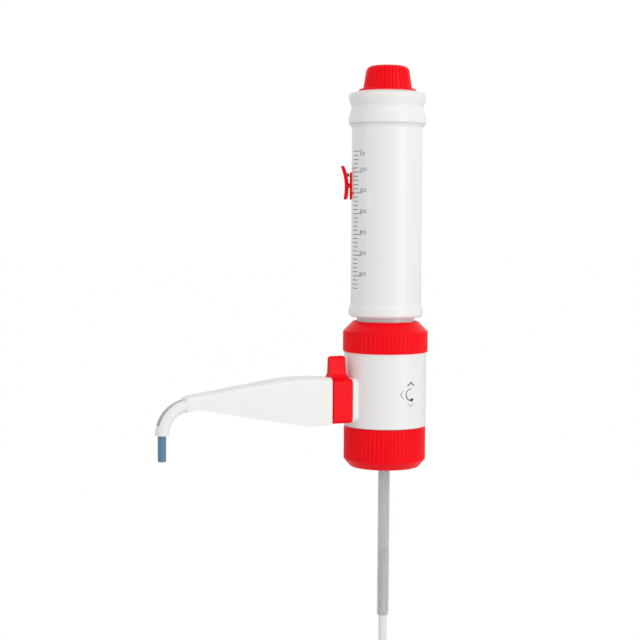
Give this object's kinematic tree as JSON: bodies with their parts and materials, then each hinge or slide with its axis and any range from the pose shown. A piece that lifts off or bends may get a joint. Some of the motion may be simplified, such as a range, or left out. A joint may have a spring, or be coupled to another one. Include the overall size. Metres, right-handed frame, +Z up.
{
  "type": "bottle-top dispenser",
  "caption": "Hand piston dispenser for a screw-neck bottle, with lifting sleeve, volume slider, valve knob, long nozzle and telescopic filling tube.",
  "frame": {"origin": "on the main axis, in the plane where the gasket rests on the bottle's rim", "axes": "+Z up along the bottle and the piston, the nozzle points to -X"},
  "size_m": [0.1985, 0.0582, 0.4649],
  "materials": {
    "red_plastic": "moulded, glossy",
    "white_plastic": "moulded, glossy",
    "inner_plastic": "natural plastic",
    "guard_plastic": "moulded",
    "piston_plastic": "waxy",
    "seal_rubber": "matte",
    "clear_glass": "polished",
    "clear_tube": "clear fluoropolymer",
    "white_tube": "satin",
    "blue_tube": "satin",
    "ball_ceramic": "polished",
    "steel": "bright"
  },
  "bodies": {
    "housing": {"valve_housing": "white_plastic", "valve_block": "inner_plastic", "seat_flange": "inner_plastic", "bottle_gasket": "seal_rubber", "vent_plug": "white_plastic", "filling_valve_seat": "inner_plastic", "filling_ball_cage": "inner_plastic", "filling_tube_upper": "clear_tube", "outlet_pipe": "inner_plastic", "discharge_valve_seat": "inner_plastic", "discharge_spring": "steel", "nozzle_cover": "white_plastic", "nozzle_nut": "inner_plastic", "discharge_tube": "blue_tube", "upper_collar": "red_plastic", "cylinder_guard": "guard_plastic", "guard_ring": "inner_plastic", "glass_cylinder": "clear_glass", "cylinder_seal": "seal_rubber"},
    "bottle_nut": {"bottle_collar": "red_plastic"},
    "fill_ball": {"filling_ball": "ball_ceramic"},
    "out_ball": {"discharge_ball": "ball_ceramic"},
    "lower_tube": {"filling_tube_lower": "white_tube"},
    "valve": {"valve_knob": "red_plastic", "valve_plug": "inner_plastic", "plug_seals": "seal_rubber"},
    "sleeve": {"barrel_sleeve": "white_plastic", "grip_cap": "white_plastic", "knob_flange": "red_plastic", "piston_rod": "piston_plastic", "rod_nut": "steel", "piston": "piston_plastic", "piston_seals": "seal_rubber"},
    "dial": {"calibration_knob": "red_plastic", "calibration_spindle": "steel"},
    "slider": {"slider_carriage": "red_plastic", "slider_plate": "inner_plastic", "slider_screws": "steel", "lever_pin": "red_plastic", "lever_spring": "steel"},
    "lever": {"release_lever": "red_plastic"}
  },
  "joints": [
    {"name": "stroke", "type": "slide", "parent": "housing", "child": "sleeve", "axis": [0, 0, 1], "range_m": [0, 0.0938]},
    {"name": "volume_setting", "type": "slide", "parent": "sleeve", "child": "slider", "axis": [0, 0, 1], "range_m": [-0.0659, 0.0279]},
    {"name": "slider_release", "type": "hinge", "parent": "slider", "child": "lever", "pos_m": [-0.02338, 0.0135, 0.1738], "axis": [0.5, 0.866, 0], "range_deg": [0, 6], "stiffness_Nm_per_rad": 0.05, "springref_deg": -11.46, "deforming": ["lever_spring"]},
    {"name": "calibration", "type": "hinge", "parent": "sleeve", "child": "dial", "pos_m": [0, 0, 0.246], "axis": [0, 0, 1], "range_deg": [-180, 180]},
    {"name": "valve_turn", "type": "hinge", "parent": "housing", "child": "valve", "pos_m": [-0.0376, 0, 0.0286], "axis": [1, 0, 0], "range_deg": [0, 180]},
    {"name": "bottle_nut_turn", "type": "hinge", "parent": "housing", "child": "bottle_nut", "pos_m": [0, 0, 0], "axis": [0, 0, 1], "continuous": true},
    {"name": "fill_ball_lift", "type": "slide", "parent": "housing", "child": "fill_ball", "axis": [0, 0, 1], "range_m": [0, 0.0012]},
    {"name": "out_ball_lift", "type": "slide", "parent": "housing", "child": "out_ball", "axis": [-1, 0, 0], "range_m": [0, 0.0012], "stiffness_N_per_m": 20, "springref_m": -0.002, "deforming": ["discharge_spring"]},
    {"name": "tube_telescope", "type": "slide", "parent": "housing", "child": "lower_tube", "axis": [0, 0, 1], "range_m": [-0.035, 0.05]}
  ]
}
